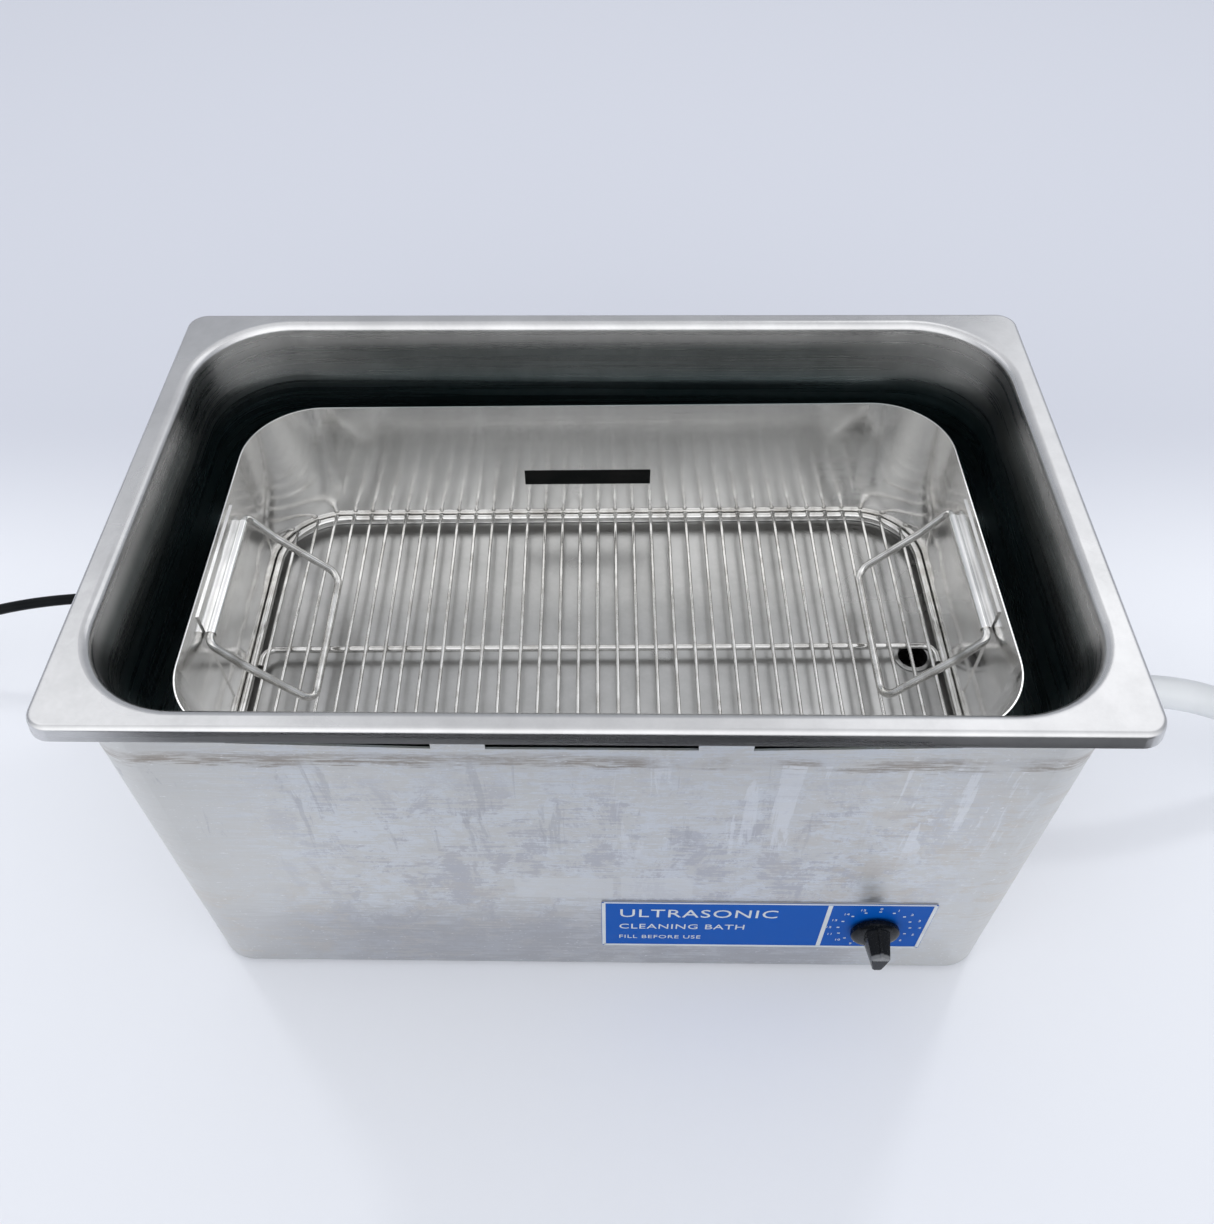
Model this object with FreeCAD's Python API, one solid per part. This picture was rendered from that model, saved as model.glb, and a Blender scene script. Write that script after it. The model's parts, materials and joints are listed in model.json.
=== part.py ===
"""Bench-top ultrasonic cleaner: a full-size drawn pan in a sheet casing, with a lift-out wire basket.

Millimetres, +Z up. Shapes are drawn about the tank's centre line, with the table at z = 0, and save()
moves them so that the origin is under the middle of the object's own box.
"""
import FreeCAD, Part
import os
from math import atan2, cos, pi, sin, sqrt, tan

V = FreeCAD.Vector

# tank: a full-size pan, 530 x 325 over its rim
RIM_X, RIM_Y = 530.0, 325.0
RIM_CORNER = 13.0
RIM_TOP = 289.0
RIM_LIP = 9.0
LIP_LEAN = 1.5
RIM_EDGE = 3.0
SHEET = 1.0
MOUTH_BEND = 5.0
WALL_X, WALL_Y = 249.0, 148.5
WALL_CORNER = 54.0
TANK_DEPTH = 150.0
WALL_INSET = 9.4
FLOOR_BEND = 15.0
TANK_FLOOR = RIM_TOP - TANK_DEPTH

# casing
CASE_X, CASE_Y = 504.0, 302.0
CASE_CORNER = 25.0
CASE_SHEET = 1.2
CASE_BOTTOM = 4.0
GASKET = 2.6
CASE_TOP = RIM_TOP - SHEET - GASKET
CASE_FLANGE = 14.0
PLATE_TOP = CASE_BOTTOM
PLATE_THICK = 1.2
FOOT_RADIUS = 9.0
FOOT_X, FOOT_Y = 222.0, 120.0
VENT_BOTTOM = 258.5
VENT_RISE = 3.7
VENT_INNER = 51.5
VENT_START, VENT_END = 78.0, 177.0
FRONT = -CASE_Y / 2
RIGHT = CASE_X / 2

# label plate and timer
LABEL_X0, LABEL_X1 = 3.5, 204.0
LABEL_Z0, LABEL_Z1 = 33.0, 95.0
LABEL_THICK = 0.8
TIMER_X, TIMER_Z = 171.0, 63.0
SHAFT_RADIUS = 3.0
KNOB_RADIUS = 15.0
KNOB_BACK = 2.0
KNOB_RIM = 5.5
NUT_REACH = 3.4
KNOB_FRONT = 24.5

# basket
BAND_X, BAND_Y, BAND_TOP = 226.0, 130.0, 240.0
BAND_FOOT_X, BAND_FOOT_Y = 224.4, 122.9
BAND_BOTTOM = TANK_FLOOR + 0.5
BAND_SHEET = 0.8
BAND_CORNER = 47.0
ROD_Z = 147.0
RING_X, RING_Y = 221.1, 119.5
RING_CORNER = 42.0
RING_WIRE = 2.5
GRID_WIRE = 1.2
GRID_PITCH = 12.47
GRID_COUNT = 35
MIDDLE_WIRE = 2.2
HINGE_X, HINGE_Z = 221.4, 218.0
HINGE_HALF = 45.0
HINGE_BOTTOM, HINGE_TOP = 158.0, 234.0
HANDLE_WIRE = 2.5
BARREL_RADIUS = 3.3
BORE_CLEARANCE = 0.07
BASKET_TURN = 0.8

# ultrasonic stacks under the tank floor
STACK_XS = (-165.0, -15.0, 120.0)
STACK_YS = (-62.0, 62.0)
HORN_TALL = 28.0
HORN_RADIUS, TAIL_RADIUS = 28.0, 22.0
DISC_RADIUS, DISC_BORE, DISC_TALL = 19.0, 7.5, 5.0
ELECTRODE = 0.4
TAIL_TALL = 20.0
BOLT_RADIUS, BOLT_DEPTH = 5.0, 14.0

# drain and hose
DRAIN_X = 204.0
DRAIN_Z = 105.0
PIPE_RADIUS, PIPE_BORE = 9.5, 7.5
VALVE_START, VALVE_END = RIGHT + 9.0, 300.0
HOSE_RADIUS, HOSE_BORE = 11.0, 8.0
HOSE_START = VALVE_END + 3.0

# power cord
CORD_RADIUS = 4.0
LEAD_RADIUS = 1.6
CORD_Y, CORD_Z = 100.0, 80.0
RELIEF_TIP = -300.0
COIL_X, COIL_Y = -600.0, 14.0
COIL_MIDDLE, COIL_WIDE, COIL_TALL = 50.0, 22.0, 21.0
COIL_LIFT = 1.0

ORIGIN_X = (RELIEF_TIP + VALVE_END) / 2
ORIGIN_Y = (FRONT - KNOB_FRONT + RIM_Y / 2) / 2

# Free runs, point by point about the tank's centre line: x, y, z.
CORD_ROUTE = [
    (-300, 100, 80), (-348, 100, 80), (-402, 98, 81), (-456, 93, 75), (-506, 89, 58),
    (-552, 88, 35), (-598, 82, 15), (-640, 58, 6), (-655, 14, 6),
]
TAIL_ROUTE = [(-655, 14, 16), (-657, -16, 15.5), (-654, -46, 12.5), (-654, -70, 12.5)]
HOSE_ROUTE = [
    (303, 0, 105), (349, 0, 105), (397, 2, 98), (445, 4, 74), (494, 4, 44), (548, 0, 21),
    (614, -9, 11), (669, -56, 11), (692, -125, 11), (674, -196, 11), (622, -247, 11),
    (551, -262, 11), (487, -238, 11), (454, -207, 11),
]


def save(node, *solids):
    """Write one node's solids, moved to the object's own frame."""
    shape = solids[0] if len(solids) == 1 else Part.Compound(list(solids))
    shape = shape.copy()
    shape.translate(V(-ORIGIN_X, -ORIGIN_Y, 0))
    shape.exportStep("parts/" + node + ".step")


def save_turned(node, *solids):
    """Write one of the basket's nodes: the basket stands a little askew in the tank."""
    turned = [solid.copy() for solid in solids]
    for solid in turned:
        solid.rotate(V(0, 0, 0), V(0, 0, 1), BASKET_TURN)
    save(node, *turned)


def outline(half_x, half_y, corner, z):
    """A rounded rectangle that starts and ends at the middle of its +X side."""
    cut = corner * (1 - sqrt(0.5))
    sides = []
    at = V(half_x, 0, z)
    for sx, sy in ((1, 1), (-1, 1), (-1, -1), (1, -1)):
        along_y = V(sx * half_x, sy * (half_y - corner), z)
        along_x = V(sx * (half_x - corner), sy * half_y, z)
        start, end = (along_y, along_x) if sx == sy else (along_x, along_y)
        middle = V(sx * (half_x - cut), sy * (half_y - cut), z)
        sides += [Part.LineSegment(at, start), Part.Arc(start, middle, end)]
        at = end
    sides.append(Part.LineSegment(at, V(half_x, 0, z)))
    return Part.Wire([side.toShape() for side in sides])


def plate(half_x, half_y, corner, z0, z1):
    """A flat slab with round corners."""
    return Part.Face(outline(half_x, half_y, corner, z0)).extrude(V(0, 0, z1 - z0))


def box(x0, x1, y0, y1, z0, z1):
    return Part.makeBox(x1 - x0, y1 - y0, z1 - z0, V(x0, y0, z0))


def rod(start, end, radius):
    """A straight round bar from one point to another."""
    a, b = V(*start), V(*end)
    return Part.makeCylinder(radius, (b - a).Length, a, b - a)


def tube(start, end, radius, bore):
    return rod(start, end, radius).cut(rod(start, end, bore))


def hexagon(start, end, across):
    """A six-sided bar, such as a nut's blank."""
    a, b = V(*start), V(*end)
    direction = (b - a).normalize()
    side = direction.cross(V(0, 0, 1) if abs(direction.z) < 0.9 else V(1, 0, 0)).normalize()
    other = direction.cross(side)
    reach = across / 2 / cos(pi / 6)
    points = [a + side * reach * cos(k * pi / 3) + other * reach * sin(k * pi / 3) for k in range(7)]
    return Part.Face(Part.makePolygon(points)).extrude(V(*end) - V(*start))


def top_edges(shape, z):
    """The edges that lie in one level plane."""
    found = []
    for edge in shape.Edges:
        bounds = edge.BoundBox
        if abs(bounds.ZMin - z) < 1e-4 and abs(bounds.ZMax - z) < 1e-4:
            found.append(edge)
    return found


def route_wire(points, bends=None):
    """Straight runs joined by tangent arcs, each as large as its runs allow unless bends gives it."""
    points = [V(*p) for p in points]
    edges, radii = [], []
    at = points[0]
    for k, (before, corner, after) in enumerate(zip(points, points[1:], points[2:])):
        back, onward = before - corner, after - corner
        half_turn = (pi - back.getAngle(onward)) / 2
        reach = bends[k] * tan(half_turn) if bends else 0.45 * min(back.Length, onward.Length)
        radii.append(reach / tan(half_turn))
        back.normalize()
        onward.normalize()
        start, end = corner + back * reach, corner + onward * reach
        inward = (back + onward).normalize()
        middle = corner + inward * radii[-1] * (1 / cos(half_turn) - 1)
        edges += [Part.LineSegment(at, start), Part.Arc(start, middle, end)]
        at = end
    edges.append(Part.LineSegment(at, points[-1]))
    return Part.Wire([edge.toShape() for edge in edges]), radii


def sweep(points, radius, bends=None):
    """A round bar along a route."""
    path, radii = route_wire(points, bends)
    start = V(*points[0])
    ring = Part.Wire([Part.Circle(start, V(*points[1]) - start, radius).toShape()])
    return path.makePipeShell([ring], True, True), path, radii


def cord(node, points, radius, bore=0.0):
    """A free cord's plain tube, with its radii and volume printed."""
    solid, path, radii = sweep(points, radius)
    area = pi * (radius**2 - bore**2)
    if bore:
        solid = solid.cut(sweep(points, bore)[0])
    ratio = solid.Volume / (area * path.Length)
    print(node, "length", round(path.Length, 1), "volume ratio", round(ratio, 4))
    print(node, "radii", [round(radius) for radius in radii])
    save(node, solid)


# --- tank and casing ---

def tank_profile():
    """The wall's section at the +X side: mouth bend, drafted wall and floor bend."""
    draft = atan2(WALL_INSET, TANK_DEPTH - MOUTH_BEND)
    down, across = V(-sin(draft), 0, -cos(draft)), V(-cos(draft), 0, sin(draft))
    top = V(WALL_X + MOUTH_BEND, 0, RIM_TOP - MOUTH_BEND)
    wall = top + across * MOUTH_BEND
    fall = (wall.z - TANK_FLOOR - FLOOR_BEND + FLOOR_BEND * sin(draft)) / cos(draft)
    low = wall + down * fall + across * FLOOR_BEND

    def bend(centre, radius, start, end):
        middle = (start + end) / 2
        points = [centre + V(cos(a), 0, sin(a)) * radius for a in (start, middle, end)]
        return Part.Arc(*points)

    inner_top = bend(top, MOUTH_BEND, pi / 2, pi - draft)
    inner_low = bend(low, FLOOR_BEND, -draft, -pi / 2)
    outer_low = bend(low, FLOOR_BEND + SHEET, -pi / 2, -draft)
    outer_top = bend(top, MOUTH_BEND - SHEET, pi - draft, pi / 2)
    parts = [inner_top, inner_low, outer_low, outer_top]
    edges = []
    for part, after in zip(parts, parts[1:] + parts[:1]):
        edges += [part, Part.LineSegment(part.EndPoint, after.StartPoint)]
    return Part.Wire([edge.toShape() for edge in edges]), low.x


def rim_slab(inset, top):
    """A slab as wide as the rim, whose edge leans out and is rounded at the top."""
    levels = []
    for z, lean in ((RIM_TOP - RIM_LIP, 0.0), (top, LIP_LEAN)):
        less = inset + lean
        levels.append(outline(RIM_X / 2 - less, RIM_Y / 2 - less, RIM_CORNER - less, z))
    slab = Part.makeLoft(levels, True, True)
    return slab.makeFillet(RIM_EDGE - inset, top_edges(slab, top))


def make_tank():
    profile, flat_x = tank_profile()
    path = outline(WALL_X, WALL_Y, WALL_CORNER, RIM_TOP - MOUTH_BEND)
    wall = path.makePipeShell([profile], True, True)
    inset = WALL_X - flat_x
    floor = plate(flat_x, WALL_Y - inset, WALL_CORNER - inset, TANK_FLOOR - SHEET, TANK_FLOOR)
    mouth_bottom = RIM_TOP - RIM_LIP
    grow = MOUTH_BEND
    mouth = plate(WALL_X + grow, WALL_Y + grow, WALL_CORNER + grow, mouth_bottom, RIM_TOP + 1)
    rim = rim_slab(0, RIM_TOP).cut(rim_slab(SHEET, RIM_TOP - SHEET)).cut(mouth)
    tank = wall.fuse([floor, rim]).removeSplitter()
    tank = tank.cut(rod((DRAIN_X, 0, TANK_FLOOR - 5), (DRAIN_X, 0, TANK_FLOOR + 5), 11.0))
    save("tank", tank)
    return tank


def make_gasket(tank):
    """The strip between the casing's top edge and the rim, outside the tank's bend."""
    inner = 1.6
    top = CASE_TOP + GASKET
    strip = plate(CASE_X / 2, CASE_Y / 2, CASE_CORNER, CASE_TOP, top)
    hole = plate(CASE_X / 2 - inner, CASE_Y / 2 - inner, CASE_CORNER - inner, CASE_TOP, top)
    pieces = strip.cut([hole, tank]).Solids
    save("rim_gasket", max(pieces, key=lambda piece: piece.Volume))


def vents():
    """The three notches at the top of a long wall, cut through both long walls."""
    top = CASE_TOP + 1
    cuts = [box(-VENT_INNER, VENT_INNER, -200, 200, VENT_BOTTOM, top)]
    for side in (-1, 1):
        corners = [
            (VENT_START, VENT_BOTTOM), (VENT_END, VENT_BOTTOM + VENT_RISE), (VENT_END, top),
            (VENT_START, top), (VENT_START, VENT_BOTTOM),
        ]
        face = Part.Face(Part.makePolygon([V(side * x, -200, z) for x, z in corners]))
        cuts.append(face.extrude(V(0, 400, 0)))
    return cuts


def plate_screw_places():
    places = [(x, side * 140.0) for x in (-170.0, 0.0, 170.0) for side in (-1, 1)]
    return places + [(-241.0, 0.0), (241.0, 0.0)]


def make_casing():
    inner_x, inner_y = CASE_X / 2 - CASE_SHEET, CASE_Y / 2 - CASE_SHEET
    shell = plate(CASE_X / 2, CASE_Y / 2, CASE_CORNER, CASE_BOTTOM, CASE_TOP)
    inner_corner = CASE_CORNER - CASE_SHEET
    shell = shell.cut(plate(inner_x, inner_y, inner_corner, CASE_BOTTOM + CASE_SHEET, CASE_TOP + 1))
    opening_x, opening_y = CASE_X / 2 - CASE_FLANGE, CASE_Y / 2 - CASE_FLANGE
    shell = shell.cut(plate(opening_x, opening_y, CASE_CORNER - CASE_FLANGE, 0, 20))
    holes = [
        rod((TIMER_X, FRONT - 5, TIMER_Z), (TIMER_X, FRONT + 5, TIMER_Z), 5.1),
        rod((RIGHT - 5, 0, DRAIN_Z), (RIGHT + 5, 0, DRAIN_Z), PIPE_RADIUS + 0.5),
        rod((-RIGHT - 5, CORD_Y, CORD_Z), (-RIGHT + 5, CORD_Y, CORD_Z), 8.0),
    ]
    holes += [rod((x, y, 0), (x, y, 10), 2.2) for x, y in plate_screw_places()]
    save("casing_shell", shell.cut(vents() + holes))


def make_base():
    low = PLATE_TOP - PLATE_THICK
    base = plate(CASE_X / 2 - 4, CASE_Y / 2 - 4, CASE_CORNER - 4, low, PLATE_TOP)
    holes = [rod((x, y, 0), (x, y, 10), 2.2) for x, y in plate_screw_places()]
    for row in range(8):
        x = -150.0 + row * 12.0
        holes.append(box(x, x + 4.0, -90, -30, 0, 10))
        holes.append(box(x, x + 4.0, 30, 90, 0, 10))
    feet, rivets = [], []
    for sx in (-1, 1):
        for sy in (-1, 1):
            x, y = sx * FOOT_X, sy * FOOT_Y
            foot = Part.makeCone(FOOT_RADIUS - 1, FOOT_RADIUS, low, V(x, y, 0))
            recess = rod((x, y, 0), (x, y, 1.2), 3.6)
            feet.append(foot.cut(recess.fuse(rod((x, y, 0), (x, y, 5), 1.6))))
            holes.append(rod((x, y, 0), (x, y, 10), 1.6))
            rivets.append(rod((x, y, 0.5), (x, y, 1.2), 3.3).fuse(rod((x, y, 1), (x, y, PLATE_TOP + 2), 1.6)))
    save("base_plate", base.cut(holes))
    save("rubber_feet", *feet)
    save("foot_rivets", *rivets)
    screws = []
    for x, y in plate_screw_places():
        head = Part.makeCone(2.6, 3.8, 1.7, V(x, y, low - 1.7))
        slot = box(x - 0.5, x + 0.5, y - 5, y + 5, low - 3, low - 1.0)
        screws.append(head.cut(slot).fuse(rod((x, y, low - 0.2), (x, y, PLATE_TOP + 5), 2.0)))
    save("base_screws", *screws)


def make_label():
    label = box(LABEL_X0, LABEL_X1, FRONT - LABEL_THICK, FRONT, LABEL_Z0, LABEL_Z1)
    label = label.makeFillet(2.0, [e for e in label.Edges if abs(e.BoundBox.YLength - LABEL_THICK) < 1e-4])
    hole = rod((TIMER_X, FRONT - 5, TIMER_Z), (TIMER_X, FRONT + 5, TIMER_Z), 5.1)
    save("label_plate", label.cut(hole))


# --- timer ---

def make_timer():
    inside = FRONT + CASE_SHEET
    body = box(TIMER_X - 26, TIMER_X + 26, inside, inside + 40, TIMER_Z - 24, TIMER_Z + 24)
    body = body.makeFillet(3.0, [e for e in body.Edges if e.BoundBox.YLength > 30])
    bush = rod((TIMER_X, FRONT - 4, TIMER_Z), (TIMER_X, inside, TIMER_Z), 5.0)
    tabs = [box(TIMER_X + x, TIMER_X + x + 6, inside + 40, inside + 50, TIMER_Z + 8, TIMER_Z + 9)
            for x in (-18, -3, 12)]
    bore_start, bore_end = (TIMER_X, FRONT - 10, TIMER_Z), (TIMER_X, inside + 30, TIMER_Z)
    bore = rod(bore_start, bore_end, SHAFT_RADIUS + BORE_CLEARANCE)
    save("timer_body", body.fuse([bush] + tabs).cut(bore))
    nut_back, nut_front = FRONT - LABEL_THICK, FRONT - NUT_REACH
    nut = hexagon((TIMER_X, nut_back, TIMER_Z), (TIMER_X, nut_front, TIMER_Z), 13.0)
    save("timer_nut", nut.cut(rod((TIMER_X, 0, TIMER_Z), (TIMER_X, -200, TIMER_Z), 5.0)))
    shaft_end = FRONT - KNOB_FRONT + 6
    shaft = rod((TIMER_X, inside + 29, TIMER_Z), (TIMER_X, shaft_end, TIMER_Z), SHAFT_RADIUS)
    flat_end = FRONT - KNOB_BACK - KNOB_RIM
    flat = box(TIMER_X + 1.8, TIMER_X + 9, shaft_end - 1, flat_end, TIMER_Z - 9, TIMER_Z + 9)
    shaft = shaft.cut(flat)
    save("timer_shaft", shaft)
    back, rim = FRONT - KNOB_BACK, FRONT - KNOB_BACK - KNOB_RIM
    disc = Part.makeCone(KNOB_RADIUS, KNOB_RADIUS - 1, KNOB_RIM, V(TIMER_X, back, TIMER_Z), V(0, -1, 0))
    grip = []
    for y, half_wide, top, bottom in ((rim, 7.0, 12.0, 12.0), (FRONT - KNOB_FRONT, 3.8, 9.5, 9.0)):
        grip.append(Part.makePolygon([
            V(TIMER_X - half_wide, y, TIMER_Z - bottom), V(TIMER_X + half_wide, y, TIMER_Z - bottom),
            V(TIMER_X + half_wide, y, TIMER_Z + top * 0.6), V(TIMER_X, y, TIMER_Z + top),
            V(TIMER_X - half_wide, y, TIMER_Z + top * 0.6), V(TIMER_X - half_wide, y, TIMER_Z - bottom),
        ]))
    knob = disc.fuse(Part.makeLoft(grip, True, True))
    recess = rod((TIMER_X, back + 1, TIMER_Z), (TIMER_X, FRONT - NUT_REACH - 0.6, TIMER_Z), 8.5)
    save("timer_knob", knob.cut([shaft, recess]))


# --- ultrasonic stacks and their driver ---

def stack_places():
    return [(x, y) for x in STACK_XS for y in STACK_YS]


def make_stacks():
    horns, discs, tabs, tails, bolts = [], [], [], [], []
    top = TANK_FLOOR - SHEET
    for x, y in stack_places():
        bolt_hole = rod((x, y, top - BOLT_DEPTH), (x, y, top - 2 * HORN_TALL), BOLT_RADIUS)
        horn = Part.makeCone(TAIL_RADIUS, HORN_RADIUS, HORN_TALL, V(x, y, top - HORN_TALL))
        horns.append(horn.cut(bolt_hole))
        z = top - HORN_TALL
        for k in range(2):
            discs.append(tube((x, y, z - DISC_TALL), (x, y, z), DISC_RADIUS, DISC_BORE))
            z -= DISC_TALL
            ring = tube((x, y, z - ELECTRODE), (x, y, z), DISC_RADIUS, DISC_BORE)
            z -= ELECTRODE
            tab_x, tab_y = x + DISC_RADIUS, y - 3 + 5 * k
            tabs.append(ring.fuse(box(tab_x - 1, tab_x + 8, tab_y, tab_y + 4, z, z + ELECTRODE)))
        tails.append(tube((x, y, z - TAIL_TALL), (x, y, z), TAIL_RADIUS, BOLT_RADIUS))
        z -= TAIL_TALL
        head = hexagon((x, y, z - 6.5), (x, y, z), 17.0)
        bolts.append(head.fuse(rod((x, y, z), (x, y, top - BOLT_DEPTH), BOLT_RADIUS)))
    save("transducer_horns", *horns)
    save("transducer_discs", *discs)
    save("transducer_electrodes", *tabs)
    save("transducer_tail_masses", *tails)
    save("transducer_bolts", *bolts)


def make_driver():
    x0, x1, y0, y1 = -55.0, 125.0, -55.0, 65.0
    z = PLATE_TOP + 8.0
    corners = [(x, y) for x in (x0 + 6, x1 - 6) for y in (y0 + 6, y1 - 6)]
    board = box(x0, x1, y0, y1, z, z + 1.6).cut([rod((x, y, 0), (x, y, 40), 1.6) for x, y in corners])
    save("generator_board", board)
    save("board_standoffs", *[hexagon((x, y, PLATE_TOP), (x, y, z), 6.0) for x, y in corners])
    z += 1.6
    save("board_screws", *[Part.makeCone(3.0, 2.4, 2.0, V(x, y, z)) for x, y in corners])
    sink = box(x0 + 14, x0 + 44, y0 + 14, y1 - 14, z, z + 6)
    fins = [box(x0 + 14 + 6 * k, x0 + 16 + 6 * k, y0 + 14, y1 - 14, z + 5, z + 32) for k in range(5)]
    save("heat_sink", sink.fuse(fins).cut(box(x0 + 31, x0 + 32.5, y0, y1, z + 5, z + 40)))
    pair = [box(x0 + 45, x0 + 49.5, y - 8, y + 8, z, z + 22) for y in (-15.0, 25.0)]
    save("power_transistors", *pair)
    cx, cy = 25.0, 5.0
    core = box(cx - 21, cx + 21, cy - 18, cy + 18, z, z + 42)
    windows = [box(cx + a, cx + b, cy - 30, cy + 30, z + 7, z + 35) for a, b in ((-15, -6), (6, 15))]
    save("transformer_core", core.cut(windows))
    winding = box(cx - 14.5, cx + 14.5, cy - 22, cy + 22, z + 7.5, z + 34.5)
    winding = winding.makeFillet(4.0, [e for e in winding.Edges if e.BoundBox.ZLength > 20])
    save("transformer_winding", winding.cut(box(cx - 6, cx + 6, cy - 18, cy + 18, z, z + 40)))
    cans = [rod((x, y, z), (x, y, z + 34), 9.0) for x in (62, 82) for y in (-38, 48)]
    save("filter_capacitors", *cans)
    ring = Part.makeTorus(12, 5.5, V(72, 5, z + 5.5))
    save("choke_coil", ring)
    block = box(106, 118, -30, 30, z, z + 12)
    ways = [rod((112, -25 + 10 * k, z + 4), (112, -25 + 10 * k, z + 20), 2.6) for k in range(6)]
    save("terminal_block", block.cut(ways))
    fuse = rod((98, 38, z + 6), (98, 58, z + 6), 2.5)
    clips = [box(94, 102, y, y + 4, z, z + 10).cut(fuse) for y in (38.5, 53.5)]
    save("fuse_clips", *clips)
    save("mains_fuse", fuse)


def make_leads():
    """Leads from the cord gland to the timer and the board, and from the board to the stacks."""
    mains = [
        (-235, CORD_Y, CORD_Z), (-214, 100, 74), (-206, 108, 40), (-180, 118, 24), (-90, 118, 24),
        (60, 112, 24), (112, 92, 30), (112, 60, 30), (112, 35, 34), (112, 25, 26),
    ]
    timer = [(159, -98, 74), (159, -84, 74), (146, -66, 50), (128, -46, 40), (112, -36, 38), (112, -25, 26)]
    bus = [(112, -15, 26), (112, -15, 52), (100, 0, 66), (60, 0, 82), (-15, 0, 94), (-172, 0, 94)]
    save("inner_leads", *[sweep(points, LEAD_RADIUS)[0] for points in (mains, timer, bus)])


# --- drain ---

def make_drain():
    top = TANK_FLOOR
    flange = rod((DRAIN_X, 0, top), (DRAIN_X, 0, top + 1.2), 12.25)
    flange = flange.makeFillet(0.8, top_edges(flange, top + 1.2))
    spigot = rod((DRAIN_X, 0, top - 20), (DRAIN_X, 0, top + 0.5), 11.0)
    save("drain_flange", flange.fuse(spigot).cut(rod((DRAIN_X, 0, 0), (DRAIN_X, 0, 200), 9.5)))
    under = top - SHEET
    save("drain_gasket", tube((DRAIN_X, 0, under - 2.5), (DRAIN_X, 0, under), 17.0, 11.0))
    nut = hexagon((DRAIN_X, 0, under - 9.5), (DRAIN_X, 0, under - 2.5), 31.0)
    save("drain_nut", nut.cut(rod((DRAIN_X, 0, 0), (DRAIN_X, 0, 200), 11.0)))
    elbow_top = top - 12.0
    cup = rod((DRAIN_X, 0, DRAIN_Z - 14), (DRAIN_X, 0, elbow_top), 15.0)
    arm = rod((DRAIN_X, 0, DRAIN_Z), (DRAIN_X + 24, 0, DRAIN_Z), 13.0)
    bores = [
        rod((DRAIN_X, 0, top - 20), (DRAIN_X, 0, elbow_top + 1), 11.0),
        rod((DRAIN_X, 0, DRAIN_Z - 9), (DRAIN_X, 0, top - 19), 8.5),
        rod((DRAIN_X, 0, DRAIN_Z), (DRAIN_X + 30, 0, DRAIN_Z), PIPE_BORE),
        rod((DRAIN_X + 12, 0, DRAIN_Z), (DRAIN_X + 30, 0, DRAIN_Z), PIPE_RADIUS),
    ]
    save("drain_elbow", cup.fuse(arm).cut(bores))
    pipe_start, pipe_end = DRAIN_X + 12, VALVE_START + 8
    save("drain_pipe", tube((pipe_start, 0, DRAIN_Z), (pipe_end, 0, DRAIN_Z), PIPE_RADIUS, PIPE_BORE))
    nuts = []
    for x0, x1 in ((RIGHT - CASE_SHEET - 6, RIGHT - CASE_SHEET), (RIGHT, RIGHT + 6)):
        blank = hexagon((x0, 0, DRAIN_Z), (x1, 0, DRAIN_Z), 28.0)
        nuts.append(blank.cut(rod((x0 - 1, 0, DRAIN_Z), (x1 + 1, 0, DRAIN_Z), PIPE_RADIUS)))
    save("wall_nuts", *nuts)


def make_valve():
    middle = (VALVE_START + VALVE_END) / 2
    ball_radius = 10.5
    barrel = rod((VALVE_START, 0, DRAIN_Z), (VALVE_END, 0, DRAIN_Z), 14.0)
    ends = [hexagon((VALVE_START, 0, DRAIN_Z), (VALVE_START + 9, 0, DRAIN_Z), 30.0),
            hexagon((VALVE_END - 9, 0, DRAIN_Z), (VALVE_END, 0, DRAIN_Z), 30.0)]
    neck = rod((middle, 0, DRAIN_Z), (middle, 0, DRAIN_Z + 19), 7.0)
    body = barrel.fuse(ends + [neck])
    body = body.cut([
        Part.makeSphere(ball_radius + 0.07, V(middle, 0, DRAIN_Z)),
        rod((VALVE_START, 0, DRAIN_Z), (VALVE_END, 0, DRAIN_Z), 6.5),
        rod((VALVE_START, 0, DRAIN_Z), (VALVE_START + 8, 0, DRAIN_Z), PIPE_RADIUS),
        rod((VALVE_END - 9, 0, DRAIN_Z), (VALVE_END, 0, DRAIN_Z), 8.0),
        rod((middle, 0, DRAIN_Z), (middle, 0, DRAIN_Z + 30), 3.07),
    ])
    save("valve_body", body)
    lever_z = DRAIN_Z + 20.0
    stem = rod((middle, 0, DRAIN_Z + 8.0), (middle, 0, lever_z + 7), 3.0)
    save("valve_stem", stem)
    ball = Part.makeSphere(ball_radius, V(middle, 0, DRAIN_Z))
    save("valve_ball", ball.cut([rod((middle, -20, DRAIN_Z), (middle, 20, DRAIN_Z), 6.5), stem]))
    arm = box(middle - 6, middle + 6, -48, 6, lever_z, lever_z + 2)
    arm = arm.makeFillet(5.0, [e for e in arm.Edges if e.BoundBox.ZLength > 1.9 and e.BoundBox.XLength < 0.1])
    save("valve_lever", arm.cut(rod((middle, 0, 0), (middle, 0, 200), 3.0)))
    nut = hexagon((middle, 0, lever_z + 2), (middle, 0, lever_z + 6), 10.0)
    save("lever_nut", nut.cut(rod((middle, 0, 0), (middle, 0, 200), 3.0)))
    tail = rod((VALVE_END - 9, 0, DRAIN_Z), (HOSE_START, 0, DRAIN_Z), HOSE_BORE)
    barbs = [Part.makeCone(HOSE_BORE, HOSE_BORE - 0.8, 7.0, V(HOSE_START + 7.5 * k, 0, DRAIN_Z), V(1, 0, 0))
             for k in range(3)]
    shank = rod((HOSE_START, 0, DRAIN_Z), (HOSE_START + 22, 0, DRAIN_Z), HOSE_BORE - 0.9)
    collar = hexagon((VALVE_END, 0, DRAIN_Z), (HOSE_START, 0, DRAIN_Z), 22.0)
    barb = tail.fuse(barbs + [shank, collar])
    save("hose_barb", barb.cut(rod((VALVE_END - 20, 0, DRAIN_Z), (VALVE_END + 60, 0, DRAIN_Z), 5.5)))


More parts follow.
